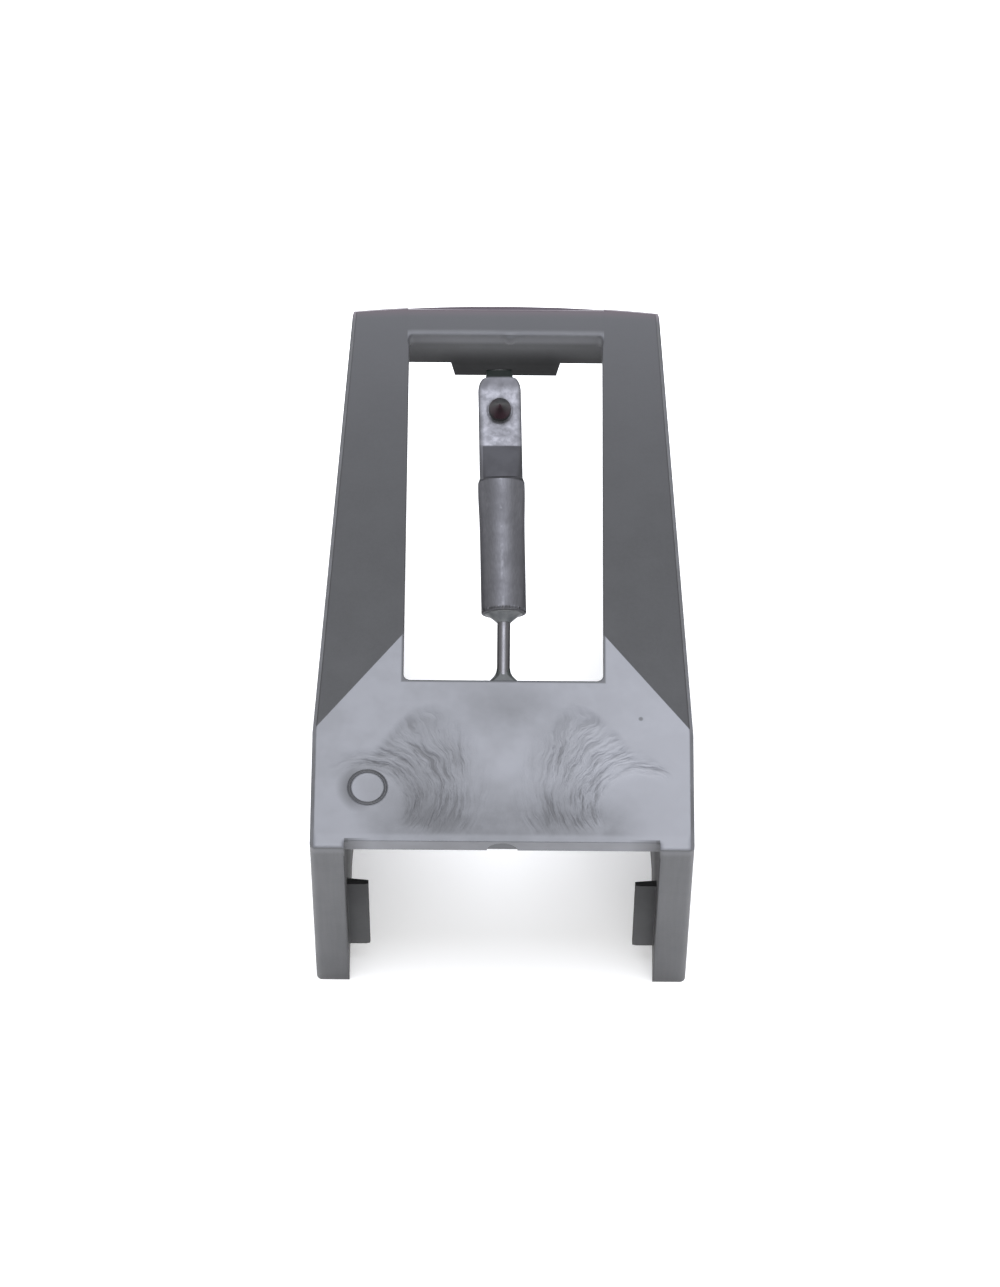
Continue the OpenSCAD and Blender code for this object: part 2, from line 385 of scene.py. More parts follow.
def grain_group():
    """Fine spark-eroded grain: two sizes of noise, put out as a height and as a speckle mask."""
    g, given, out = new_group(
        "Fine grain",
        [("Vector", "NodeSocketVector", None), ("Scale", "NodeSocketFloat", 14.0)],
        [("Height", "NodeSocketFloat"), ("Speckle", "NodeSocketFloat")],
    )
    coarse = g.noise(given.outputs["Vector"], given.outputs["Scale"], 3.0, 0.6)
    fine = g.noise(given.outputs["Vector"], g.times(given.outputs["Scale"], 3.1), 2.0, 0.5)
    both = g.plus(g.times(coarse, 0.6), g.times(fine, 0.4))
    g.feed(out.inputs["Height"], both)
    g.feed(out.inputs["Speckle"], g.span(both, 0.38, 0.62))


def handling_group():
    """Faint cloudy marks and dust from handling, as two masks."""
    g, given, out = new_group(
        "Handling marks",
        [("Vector", "NodeSocketVector", None), ("Size", "NodeSocketFloat", 1.0)],
        [("Cloud", "NodeSocketFloat"), ("Dust", "NodeSocketFloat")],
    )
    cloud = g.noise(given.outputs["Vector"], g.times(given.outputs["Size"], 0.6), 3.0, 0.55)
    spots = g.noise(given.outputs["Vector"], g.times(given.outputs["Size"], 9.0), 2.0, 0.7)
    g.feed(out.inputs["Cloud"], g.span(cloud, 0.35, 0.65, smooth=True))
    g.feed(out.inputs["Dust"], g.span(spots, 0.66, 0.76))


def drawn_group():
    """Fine lines left by drawing and pressing: noise stretched along the wire's direction."""
    g, given, out = new_group(
        "Drawn lines",
        [("Vector", "NodeSocketVector", None), ("Across", "NodeSocketFloat", 30.0)],
        [("Height", "NodeSocketFloat"), ("Streak", "NodeSocketFloat")],
    )
    parts = g.add("ShaderNodeSeparateXYZ", {"Vector": given.outputs["Vector"]})
    across = g.times(parts.outputs[0], given.outputs["Across"])
    along = g.times(parts.outputs[1], 0.9)
    over = g.times(parts.outputs[2], given.outputs["Across"])
    stretched = g.add("ShaderNodeCombineXYZ", {"X": across, "Y": along, "Z": over})
    lines = g.noise(stretched, 1.0, 3.0, 0.55)
    g.feed(out.inputs["Height"], lines)
    g.feed(out.inputs["Streak"], g.span(lines, 0.35, 0.65))


def group(graph, name, inputs):
    """Places a shared group in a material."""
    node = graph.add("ShaderNodeGroup", node_tree=bpy.data.node_groups[name])
    for key, value in inputs.items():
        graph.feed(node.inputs[key], value)
    return node


class Surface(Graph):
    """A material with a Principled BSDF whose constant sockets are set directly."""

    def __init__(self, name, **constants):
        self.material = bpy.data.materials.new(name)
        self.material.use_nodes = True
        super().__init__(self.material.node_tree)
        self.shader = self.nodes["Principled BSDF"]
        for key, value in constants.items():
            self.shader.inputs[key.replace("_", " ")].default_value = value

    def finish(self, colour, rough, normal=None):
        """Feeds the colour, the roughness and the normals, and returns the material."""
        self.feed(self.shader.inputs["Base Color"], colour)
        self.feed(self.shader.inputs["Roughness"], rough)
        if normal is not None:
            self.feed(self.shader.inputs["Normal"], normal)
        return self.material


def bump(graph, height, distance, strength, normal=None):
    """Normals for a height of 1 that stands the given distance, in metres, above the surface."""
    inputs = {"Height": height, "Distance": distance, "Strength": strength}
    node = graph.add("ShaderNodeBump", inputs)
    if normal is not None:
        graph.feed(node.inputs["Normal"], normal)
    return node.outputs[0]


# ---------------------------------------------------------------- materials


def rgba(colour, gain=1.0):
    """A colour made brighter or darker by a gain, with full alpha."""
    return (*[min(1.0, c * gain) for c in colour], 1.0)


def rounded_edges(g, parts, radius):
    """Normals that round each edge by the radius, the window's front edge by five times it and
    the ends of the side walls by three times it."""
    x, y, z = parts
    side = g.size(x)
    near = g.span(g.size(g.minus(y, WINDOW_END)), 0.2, 0.35, 1.0, 0.0)
    front = g.times(near, g.below(side, WINDOW_HALF + 0.05), g.above(z, PLATE_Z - 1.1))
    ends = g.times(g.above(side, 4.2), g.span(y, BACK + 0.5, BACK + 0.3))
    more = g.plus(g.times(front, 4.0), g.times(ends, 2.0))
    width = g.times(g.plus(more, 1.0), radius)
    return g.add("ShaderNodeBevel", {"Radius": width}, samples=6).outputs[0]


def matt_plastic(look):
    """Grey plastic with a fine matt grain. It has painted light on the ends of the side walls,
    towards the front bar and along the window's front edge, and painted shade down the front
    wall's inner face and inside the channel."""
    g = Surface("holder_matt_plastic", IOR=1.44)
    where, parts = millimetres(g)
    x, y, z = parts
    side = g.size(x)
    grain = group(g, "Fine grain", {"Vector": where, "Scale": 9.0})
    cloud = group(g, "Handling marks", {"Vector": where, "Size": 1.2}).outputs["Cloud"]
    base = g.mix(grain.outputs["Speckle"], rgba(look.plastic, 0.9), rgba(look.plastic, 1.12))
    clouded = g.mix(g.times(cloud, 0.35), base, rgba(look.plastic, 1.3))

    # painted light: paler towards the front bar and its lip, for the light on the bar's top and
    # rounded front edge
    forward = g.math("POWER", g.span(y, -3.0, FRONT), 2.5)
    lip = g.span(y, FRONT - 0.5, FRONT - 0.1, smooth=True)
    top = g.span(z, PLATE_Z - 2.8, PLATE_Z - 0.6, smooth=True)
    pale = g.times(g.plus(g.times(forward, 0.75), g.times(lip, 0.3)), top)

    # the cut ends of the side walls: painted light, strongest at the top, with fine lines down
    # them
    ends = g.span(y, BACK + 0.08, BACK + 0.02)
    upper = g.span(z, PLATE_Z - 0.45, PLATE_Z - 0.05, 0.45, 1.5, smooth=True)
    down = g.add("ShaderNodeMapping", {"Vector": where, "Scale": (9.0, 1.0, 0.5)})
    lines = g.span(g.noise(down, 1.0, 3.0, 0.6), 0.3, 0.7, 0.8, 1.2)
    pale = g.most(pale, g.times(ends, upper, lines))

    # the front wall's inner face: painted light at its top and painted shade towards its foot
    wall = g.times(g.above(y, WINDOW_END - 0.2), g.below(y, WINDOW_END + 0.1))
    wall = g.times(wall, g.below(side, WINDOW_HALF))
    lit = g.times(wall, g.span(z, PLATE_Z - 1.35, PLATE_Z - 0.7, 0.0, 1.2, smooth=True))
    dark = g.times(
        wall,
        g.span(z, PLATE_Z - 2.1, PLATE_Z - 1.2, 1.0, 0.0),
        g.span(side, 1.2, 2.2, 1.0, 0.6, smooth=True),
        g.span(z, PLATE_Z - 2.2, PLATE_Z - 1.8, 0.75, 1.0),
    )

    # painted highlight on the rounded edge between the top and the front wall's inner face
    painted_edge_highlight = g.times(
        g.span(g.size(g.minus(y, WINDOW_END)), 0.03, 0.18, 0.8, 0.0),
        g.below(side, WINDOW_HALF + 0.05),
        g.span(z, PLATE_Z - 1.0, PLATE_Z - 0.85),
    )

    # inside the channel the walls and the lugs are in the shade of the plate
    inner = g.times(
        g.below(side, CHANNEL_HALF + 0.01),
        g.below(y, -3.0),
        g.below(z, PLATE_Z - 0.5),
        g.span(z, 1.0, 4.6, 0.05, 0.6),
    )
    # the painted shade of the front wall's foot and of the channel together
    dark = g.most(dark, inner)
    # the colour of the painted light: paler plastic, turning pinkish in a painted highlight along
    # the front lip's rounded edge
    rim = g.times(lip, g.span(z, PLATE_Z - 1.15, PLATE_Z - 0.85))
    pink_painted_light = g.mix(rim, rgba(look.plastic, 4.2), rgba((0.062, 0.046, 0.056)))
    coloured = g.mix(g.most(pale, lit), clouded, pink_painted_light)
    coloured = g.mix(painted_edge_highlight, coloured, rgba(look.plastic, 8.0))
    coloured = g.mix(dark, coloured, rgba(look.plastic, 0.3))
    rough = g.plus(g.span(cloud, 0.0, 1.0, 0.46, 0.42), g.times(dark, 0.5))
    edges = rounded_edges(g, parts, look.edge_radius)
    return g.finish(coloured, rough, bump(g, grain.outputs["Height"], 0.004 * MM, 0.5, edges))


def bevel_highlight_plastic(look):
    """The same plastic with the outer bevels painted paler as a highlight, most of all in front,
    where the painted highlight is pinkish.
    """
    g = Surface("holder_bevel_highlight_plastic", IOR=1.5)
    where, parts = millimetres(g)
    grain = group(g, "Fine grain", {"Vector": where, "Scale": 9.0})
    cloud = group(g, "Handling marks", {"Vector": where, "Size": 2.5}).outputs["Cloud"]
    front = g.span(parts[1], FRONT - 0.5, FRONT - 0.2)
    painted_bevel_light = g.mix(cloud, rgba(look.plastic, 3.0), rgba(look.plastic, 5.0))
    pink_painted_light = (look.plastic[0] * 8.8, look.plastic[1] * 7.3, look.plastic[2] * 7.7, 1)
    grained = bump(g, grain.outputs["Height"], 0.003 * MM, 0.5)
    return g.finish(g.mix(front, painted_bevel_light, pink_painted_light), g.span(cloud, 0.0, 1.0, 0.4, 0.5), grained)


def flow_streaks(g, where, x, y):
    """Moulding flow marks: hairs that rise from the gate and curl over, mirrored left and right.

    On each side the hairs run round a centre beside the pin mark. With distance d and
    turn t round that centre, a hair is a line of constant d - 0.17 (d - 1)^2 t, so near
    ones are arcs and far ones open out, and slow noise makes them wander. Noise that is
    fine over that value and slow over the turn draws them. Returns the hairs, their
    strength, the area that they cover and the sideways distance.
    """
    wander = g.minus(g.noise(where, 1.3, 2.0, 0.5), 0.5)
    side = g.size(x)
    inward, ahead = g.minus(FLOW_CENTRE[0], side), g.minus(y, FLOW_CENTRE[1])
    reach = g.length(inward, ahead)
    turn = g.math("ARCTAN2", ahead, inward)
    far = g.most(g.minus(reach, 1.0), 0.0)
    line = g.minus(reach, g.times(far, far, g.times(turn, 0.17)))
    line = g.plus(line, g.times(wander, 0.3))
    which = g.times(g.math("SIGN", x), 7.3)
    place = {"X": g.times(line, 11.0), "Y": g.times(turn, 2.6), "Z": which}
    hairs = g.noise(g.add("ShaderNodeCombineXYZ", place), 1.0, 3.0, 0.6)
    patch = g.noise(g.add("ShaderNodeCombineXYZ", place), 0.45, 2.0, 0.5)
    limit = g.span(turn, 1.0, 1.55, 3.7, 1.8, smooth=True)
    area = g.times(
        g.span(reach, 0.85, 1.3, smooth=True),
        g.span(g.minus(reach, limit), -0.8, 0.0, 1.0, 0.0, smooth=True),
        g.span(turn, -0.75, -0.25, smooth=True),
        g.span(turn, 1.7, 2.6, 1.0, 0.0, smooth=True),
        g.span(side, 0.4, 1.6, 0.35, 1.0, smooth=True),
        g.span(y, BACK + 0.25, BACK + 0.9, smooth=True),
    )
    strength = g.times(area, g.span(patch, 0.34, 0.62, 0.4, 1.05, smooth=True))
    return hairs, strength, area, side


def pin_ring(g, x, y):
    """How near a place is to the ring left by the ejector pin, for the painted shade of its
    groove:
    1 on it and 0 off it, and to the darker band round its outside, which is darkest on the left."""
    dx, dy = g.minus(x, PIN_MARK[0]), g.minus(y, PIN_MARK[1])
    away = g.length(dx, dy)
    ring = g.span(g.size(g.minus(away, RING_R)), 0.0, 0.09, 0.58, 0.0, smooth=True)
    darker_surround = g.times(
        g.span(away, RING_R, 1.05, 1.0, 0.0, smooth=True),
        g.span(away, RING_R - 0.1, RING_R),
        g.span(dx, 0.3, -0.45, 0.15, 1.0),
    )
    return ring, darker_surround


def pinhole_shade(g, x, y):
    """The painted shade of a pinhole in the plate: 1 inside it and 0 outside."""
    away = g.length(g.minus(x, PIT[0]), g.minus(y, PIT[1]))
    return g.span(away, 0.035, 0.085, 0.9, 0.0, smooth=True)


def window_edge_shade(g, side, y):
    """How near a place is to the window's back corner and sides, for the painted shade along the
    window's edge.
    """
    edge = g.most(g.minus(side, WINDOW_HALF), g.minus(WINDOW_Y, y))
    return g.span(edge, 0.03, 0.09, 1.0, 0.0, smooth=True)


def gate_scar(g, parts):
    """The half-round scar of the gate in the plate's back edge: 1 inside it and 0 outside."""
    x, y, z = parts
    away = g.length(x, g.minus(z, PLATE_Z - GATE_DROP))
    return g.times(g.span(away, 0.40, 0.45, 1.0, 0.0), g.below(y, PLATE_BACK))


def polished_plastic(look):
    """The plate: the same plastic with a polished face and flow marks. Painted shade darkens its
    back edge, its middle near the window, its left, its corners and the edges of its pin mark,
    pinhole and window; painted light brightens its right.
    """
    g = Surface("holder_polished_plastic", IOR=1.52)
    where, parts = millimetres(g)
    x, y, _ = parts
    hairs, strength, area, side = flow_streaks(g, where, x, y)
    cloud = group(g, "Handling marks", {"Vector": where, "Size": 1.1}).outputs["Cloud"]
    grain = group(g, "Fine grain", {"Vector": where, "Scale": 7.0})
    ring, darker_surround = pin_ring(g, x, y)

    # painted shade along the plate's back edge and in the middle near the window
    slow = g.noise(where, 0.7, 2.0, 0.5)
    wander = g.plus(y, g.times(g.minus(slow, 0.5), 0.8))
    painted_back_shade = g.times(
        g.span(g.plus(wander, FRONT), 0.6, 2.7, 1.0, 0.0, smooth=True),
        g.span(side, 2.4, 4.3, 1.0, 0.2, smooth=True),
        g.span(g.plus(y, FRONT), 0.36, 0.5, 0.45, 1.0, smooth=True),
    )
    middle_shade_x = g.over(g.minus(x, 0.25), 1.5)
    middle_shade_y = g.over(g.minus(wander, BACK + 4.35), 0.75)
    painted_middle_shade = g.times(g.math("EXPONENT", g.times(g.squares(middle_shade_x, middle_shade_y), -1.2)), 0.65)
    blotch = g.span(g.noise(where, 1.4, 4.0, 0.6), 0.3, 0.7, 0.55, 1.1)
    painted_plate_shade = g.times(g.most(painted_back_shade, painted_middle_shade), blotch)

    # the flow marks, and painted shade that makes the left of the plate, with the flow marks on
    # it, darker than the right
    strength = g.times(strength, look.flow)
    streak = g.times(g.span(hairs, 0.42, 0.7, smooth=True), strength, 0.72)
    leftward = g.span(x, -4.2, 3.0, 0.55, 0.0)
    painted_plate_shade = g.plus(painted_plate_shade, g.times(g.plus(area, 0.35), leftward))
    # shade holds the flow marks and the painted shade together
    shade = g.plus(streak, g.times(painted_plate_shade, 0.74), clamp=True)

    # painted shade: the back edge is darker where it runs into the side walls
    painted_corner_shade = g.times(g.span(side, 3.3, 4.25), g.below(y, PLATE_BACK))
    painted_corner_shade = g.times(painted_corner_shade, g.below(side, CHANNEL_HALF - 0.01))
    # painted shade of the pin mark's groove, the pinhole, the back corners and the window's edge,
    # with the darker band round the pin mark and the darker gate scar
    details = (g.times(darker_surround, 0.95), ring, pinhole_shade(g, x, y), painted_corner_shade)
    shade = g.most(shade, *details, window_edge_shade(g, side, y), gate_scar(g, parts))
    pale = g.mix(cloud, rgba(look.plate, 0.92), rgba(look.plate, 1.22))
    # painted light: the right of the plate is paler
    pale = g.mix(g.span(x, 0.5, 4.5, 0.0, 0.5), pale, rgba(look.plate, 1.5))
    coloured = g.mix(shade, pale, rgba(look.plate, 0.42))
    edges = rounded_edges(g, parts, look.edge_radius)
    ridged = bump(g, g.times(hairs, strength), 0.04 * MM, 0.9, edges)
    grained = bump(g, grain.outputs["Height"], 0.0015 * MM, 0.3, ridged)
    return g.finish(coloured, g.span(shade, 0.0, 1.0, 0.29, 0.5), grained)


def drawn_metal(g, where, colour, rough, lines):
    """Drawn metal: fine lines along the length and faint clouds. Returns its colour, its
    roughness and its normals."""
    drawn = group(g, "Drawn lines", {"Vector": where, "Across": lines})
    cloud = group(g, "Handling marks", {"Vector": where, "Size": 3.0}).outputs["Cloud"]
    base = g.mix(drawn.outputs["Streak"], rgba(colour, 0.92), rgba(colour, 1.07))
    clouded = g.mix(g.times(cloud, 0.4), base, rgba(colour, 0.82))
    lined = bump(g, drawn.outputs["Height"], 0.003 * MM, 0.5)
    return clouded, g.span(cloud, 0.0, 1.0, rough, rough + 0.08), lined


def wire_steel(look):
    """Drawn spring steel."""
    g = Surface("spring_steel", Metallic=1.0)
    where, _ = millimetres(g)
    return g.finish(*drawn_metal(g, where, look.steel, 0.36, 60.0))


def tube_aluminium(look):
    """Dull drawn tube with a painted highlight in a broken line along its top. Its pressed slope
    is in painted shade, paler on its left side, and the mottled blade is in painted light, with
    painted shade on its margins and turned-down end and a darker patch behind the jewel; the
    blade's nose is coloured near black."""
    g = Surface("drawn_aluminium", Metallic=1.0)
    where, (x, y, z) = millimetres(g)
    base, rough, lined = drawn_metal(g, where, look.aluminium, 0.58, 22.0)

    # distance along the wire: the dot product of the place with the wire's direction
    along = g.plus(g.times(y, float(ALONG[1])), g.times(z, float(ALONG[2])))
    s = g.minus(along, float(WIRE_EXIT @ ALONG))
    slope = g.span(s, PRESS_FROM - 0.02, PRESS_FROM + 0.02)
    blade = g.span(s, BLADE_FROM - 0.01, BLADE_FROM + 0.03)
    turned = g.span(s, BLADE_END - 0.52, BLADE_END - 0.16, 0.0, 0.85, smooth=True)
    nose = g.span(s, BLADE_END - 0.04, BLADE_END + 0.04)
    axis = g.minus(x, g.times(g.minus(s, TUBE_FROM), -math.tan(LEAN)))
    margin = g.span(g.size(axis), 0.44, 0.52)

    # painted shade on the pressed slope, and painted light on the mottled blade
    blot = g.noise(where, 5.0, 3.0, 0.6)
    colour = g.mix(slope, base, rgba(look.aluminium, 0.48))
    mottled_painted_light = g.mix(g.span(blot, 0.35, 0.65), rgba(look.aluminium, 1.0), rgba(look.aluminium, 1.7))
    colour = g.mix(blade, colour, mottled_painted_light)

    # a painted highlight in a broken line along the top of the round part, and painted light on
    # the slope's left side
    painted_crown_highlight = g.span(g.size(g.plus(axis, 0.02)), 0.0, 0.06, 1.0, 0.0)
    broken = g.span(g.noise(where, 1.9, 3.0, 0.6), 0.5, 0.62, smooth=True)
    painted_crown_highlight = g.times(painted_crown_highlight, broken, g.minus(1.0, slope))
    colour = g.mix(painted_crown_highlight, colour, rgba(look.aluminium, 1.5))
    painted_flank_light = g.times(g.below(axis, -0.5), g.minus(slope, blade))
    colour = g.mix(painted_flank_light, colour, rgba(look.aluminium, 0.85))

    # painted shade on the blade's margins and its turned-down end, and a darker patch behind the
    # jewel
    away = g.squares(g.over(g.minus(s, TIP_S - 0.62), 0.17), g.over(axis, 0.42))
    patch_behind_jewel = g.times(g.span(away, 0.3, 1.2, 1.0, 0.0, smooth=True), g.span(blot, 0.42, 0.58))
    dull = g.times(blade, g.most(turned, g.times(margin, 0.5)))
    dull = g.most(dull, g.times(patch_behind_jewel, 0.7))
    colour = g.mix(dull, colour, rgba(look.aluminium, 0.62))
    # the blade's nose is coloured near black
    colour = g.mix(nose, colour, (0.012, 0.016, 0.015, 1))
    return g.finish(colour, g.minus(rough, g.times(blade, 0.06)), lined)


def plug_resin():
    """Dark grey resin with a soft shine."""
    g = Surface("plug_resin", IOR=1.5)
    where, _ = millimetres(g)
    cloud = group(g, "Handling marks", {"Vector": where, "Size": 5.0}).outputs["Cloud"]
    grain = group(g, "Fine grain", {"Vector": where, "Scale": 20.0})
    base = g.mix(cloud, (0.08, 0.085, 0.09, 1), (0.13, 0.135, 0.14, 1))
    grained = bump(g, grain.outputs["Height"], 0.002 * MM, 0.4)
    return g.finish(base, g.span(cloud, 0.0, 1.0, 0.3, 0.45), grained)


def adhesive():
    """Cured adhesive: dark, with a soft shine."""
    g = Surface("cured_adhesive", IOR=1.45)
    where, _ = millimetres(g)
    marks = group(g, "Handling marks", {"Vector": where, "Size": 4.0})
    base = g.mix(marks.outputs["Cloud"], (0.012, 0.014, 0.014, 1), (0.026, 0.031, 0.03, 1))
    return g.finish(base, g.span(marks.outputs["Dust"], 0.0, 1.0, 0.4, 0.6))


def ground_jewel(look):
    """Dark red jewel with a ground cone; its rim goes faintly green."""
    g = Surface("ground_jewel", IOR=1.3, Specular_IOR_Level=0.3)
    where, _ = millimetres(g)
    facing = g.add("ShaderNodeLayerWeight", {"Blend": 0.35}).outputs["Facing"]
    marks = group(g, "Handling marks", {"Vector": where, "Size": 7.0})
    heart = g.mix(marks.outputs["Cloud"], rgba(look.jewel), rgba(look.jewel, 2.2))
    coloured = g.mix(facing, heart, (0.008, 0.015, 0.013, 1))
    return g.finish(coloured, g.span(marks.outputs["Dust"], 0.0, 1.0, 0.35, 0.5))


def pale_floor():
    """Plain pale table top with the faintest unevenness, lit a little from within."""
    glow = {"Emission_Color": (1, 1, 1, 1), "Emission_Strength": 0.22}
    g = Surface("pale_table", IOR=1.45, **glow)
    where, _ = millimetres(g)
    tone = g.noise(where, 0.05, 2.0, 0.5)
    coloured = g.mix(tone, (0.86, 0.86, 0.86, 1), (0.9, 0.9, 0.9, 1))
    return g.finish(coloured, g.span(tone, 0.0, 1.0, 0.75, 0.9))


# ---------------------------------------------------------------- shapes


def small_forms(points):
    """The holder's points (n by 3, in mm) with two small forms brought to their true size.

    The round groove of the pin mark shrinks: a point at distance d from its centre goes to
    RING_R + 0.7 (d - GROOVE_R), and its depth to 0.6 of what it was. The snap lugs become thin
    ribs: with f going from 0 at a lug's back to 1 at its front and h from 0 at its foot to 1
    at its top, y is LUG_BACK + RIB_L f and the height RIB_LOW + (RIB_H - RIB_FALL f) h, so
    that the top slopes forward.
    """
    x, y, z = points.T
    dx, dy = x - PIN_MARK[0], y - PIN_MARK[1]
    d = np.hypot(dx, dy)
    ring = (d > 0.4) & (d < 0.66) & (z > PLATE_Z - 0.1)
    pull = np.where(ring, (RING_R + 0.7 * (d - GROOVE_R)) / np.maximum(d, 0.1), 1.0)
    x, y = PIN_MARK[0] + dx * pull, PIN_MARK[1] + dy * pull
    z = np.where(ring, PLATE_Z - 0.6 * (PLATE_Z - z), z)
    side = np.abs(x)
    near = (side > 3.6) & (side < 4.35) & (y > LUG_BACK - 0.05) & (y < LUG_BACK + 1.9)
    lug = near & (z > LUG_LOW - 0.1) & (z < LUG_LOW + LUG_H + 0.1)
    f, h = (y - LUG_BACK) / LUG_L, (z - LUG_LOW) / LUG_H
    z = np.where(lug, RIB_LOW + h * (RIB_H - RIB_FALL * f), z)
    y = np.where(lug, LUG_BACK + RIB_L * f, y)
    return np.stack([x, y, z], axis=1)


def holder_piece():
    """The moulding: the frame's own solid with its loose triangles joined, its flat faces
    made whole and its curved faces shaded smooth."""
    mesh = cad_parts["holder_frame"].data.copy()
    mesh.name = "holder"
    points = np.zeros(len(mesh.vertices) * 3)
    mesh.vertices.foreach_get("co", points)
    points = small_forms(points.reshape(-1, 3) / MM) * MM
    mesh.vertices.foreach_set("co", points.ravel())
    form = bmesh.new()
    form.from_mesh(mesh)
    weld, level_turn = 0.0005 * MM, math.radians(0.4)
    bmesh.ops.remove_doubles(form, verts=form.verts, dist=weld)
    bmesh.ops.dissolve_degenerate(form, edges=form.edges, dist=weld)
    bmesh.ops.dissolve_limit(form, angle_limit=level_turn, verts=form.verts, edges=form.edges)
    for face in form.faces:
        face.smooth = True
    for edge in form.edges:
        turn = edge.calc_face_angle(math.pi)
        level = min(face.normal.z for face in edge.link_faces) > 0.99
        # the creases between the plate and the rails turn by only a few degrees
        edge.smooth = turn < math.radians(1 if level else 22)
    form.to_mesh(mesh)
    form.free()
    mesh.materials.clear()
    piece = bpy.data.objects.new("holder", mesh)
    bpy.context.scene.collection.objects.link(piece)
    flat = piece.modifiers.new("Flat faces stay flat", "WEIGHTED_NORMAL")
    flat.keep_sharp = True
    return piece


def face_finish(mesh):
    """The finish of each face: 1 for the polished plate with its back edge, 2 for the
    bevels round the outer top edges, which carry a painted highlight, and 0 for the matt rest."""
    count = len(mesh.polygons)
    normals, centres = np.zeros(count * 3), np.zeros(count * 3)
    mesh.polygons.foreach_get("normal", normals)
    mesh.polygons.foreach_get("center", centres)
    _, facing, up = normals.reshape(-1, 3).T
    _, y, z = centres.reshape(-1, 3).T / MM
    level = (up > 0.9999) & (z > PLATE_Z - 0.1)
    near_back = (y > BACK + 0.15) & (y < BACK + 0.4)
    back = (facing < -0.99) & (z > PLATE_Z - 0.6) & (z < PLATE_Z) & near_back
    tilted = (up > 0.5) & (up < 0.9) & (z > PLATE_Z - 1.6)
    return np.where(level | back, 1, np.where(tilted, 2, 0)).astype(np.int32)


def tube_section(half_width, half_thick, power, turn):
    """One section of the tube: x is half_width times the cosine of the turn, and the height is
    half_thick times (1 - |cos|^power)^(1/power), which is a circle at 2 and a flat blade at 8."""
    c = np.cos(turn)
    height = (1 - np.abs(c) ** power[:, None]) ** (1 / power[:, None])
    return half_width[:, None] * c, half_thick[:, None] * height * np.sign(np.sin(turn))


def tube_stations():
    """Each place along the tube, with the outer skin's half width, half thickness and power
    there, and how far along the nose it is.

    The thickness falls by BITE at once where the press begins, and then evenly to the
    blade's. The power goes from a circle's 2 to the blade's 8. Before the press the width
    swells by a bell curve, and a quarter ellipse rounds the blade's shoulders.
    """
    s = np.unique(
        np.concatenate(
            [
                np.linspace(TUBE_FROM + 0.03, PRESS_FROM, 40),
                PRESS_FROM + np.array([-0.03, -0.015, 0.012, 0.03, 0.06, 0.09, 0.105]),
                np.linspace(PRESS_FROM, BLADE_FROM, 24),
                BLADE_FROM + np.array([-0.03, -0.015, 0.015, 0.03]),
                np.linspace(BLADE_FROM, BLADE_END, 70),
                np.linspace(BLADE_END, BLADE_END + NOSE_L - 0.02, 12),
            ]
        )
    )
    press = np.clip((s - PRESS_FROM) / (BLADE_FROM - PRESS_FROM), 0, 1)
    bite = np.clip((s - PRESS_FROM) / 0.09, 0, 1)
    # the press's edge bites in at once, and its face slopes on down to the blade
    thick = TUBE_R - BITE * bite + (BLADE_THICK - TUBE_R + BITE) * press
    power = 2 + 2.2 * bite + 3.8 * press
    # the tube bulges sideways just before the press
    bulge = 0.03 * np.exp(-(((s - PRESS_FROM + 0.25) / 0.7) ** 2)) * (1 - bite)
    width = TUBE_R + bulge - (TUBE_R - BLADE_HALF) * bite
    shoulder = np.clip((s - (BLADE_END - SHOULDER_L)) / SHOULDER_L, 0, 1)
    width = width - (BLADE_HALF - NOSE_HALF) * (1 - np.sqrt(1 - shoulder**2))
    nose = np.clip((s - BLADE_END) / NOSE_L, 0, 1)
    width = np.where(s > BLADE_END, NOSE_HALF - 0.03 * nose, width)
    return s, width, thick, power, nose


def tube_piece():
    """The tube's skin: rings round its axis, from inside the mouth, over its lip, along the
    round part, down the pressed slope and over the flat blade to the turned-down nose."""
    around, bore_lip, outer_lip = 112, 0.03, 0.035
    turn = (np.arange(around) + 0.5) * 2 * np.pi / around
    deep = TUBE_FROM + 1.0
    inner = [(deep, 0.02), (deep, BORE_R - 0.03), (deep - 0.4, BORE_R), (TUBE_FROM + 0.04, BORE_R)]
    lip = arc_profile(TUBE_FROM + bore_lip, BORE_R + bore_lip, bore_lip, -150, -90, 4)
    lip += arc_profile(TUBE_FROM + outer_lip, TUBE_R - outer_lip, outer_lip, -90, 0, 6)
    round_part = np.array(inner + lip)
    two = np.full(len(round_part), 2.0)
    x0, n0 = tube_section(round_part[:, 1], round_part[:, 1], two, turn)
    s0 = np.repeat(round_part[:, :1], around, axis=1)
    s, width, thick, power, nose = tube_stations()
    x, n = tube_section(width, thick, power, turn)
    # the nose turns down: its upper face falls to meet the lower one
    fall = nose[:, None]
    n = np.where(n > 0, n * (1 - 1.45 * fall), n * (1 - 0.1 * fall))
    # a faint dish in the blade where the jewel was pressed in
    from_tip = np.hypot(x, s[:, None] - TIP_S)
    n = n - np.where(n > 0, 0.018 * np.exp(-(((from_tip - 0.31) / 0.05) ** 2)), 0)
    end = s[-1] + 0.02
    xe, ne = x[-1:] * 0.3, n[-1:] * 0.3 - 0.075
    grid_x = np.vstack([x0, x, xe])
    grid_n = np.vstack([n0, n, ne])
    grid_s = np.vstack([s0, np.repeat(s[:, None], around, axis=1), np.full((1, around), end)])
    return close_rings("cantilever_tube_skin", on_tube(grid_x, grid_s, grid_n), flip=True)


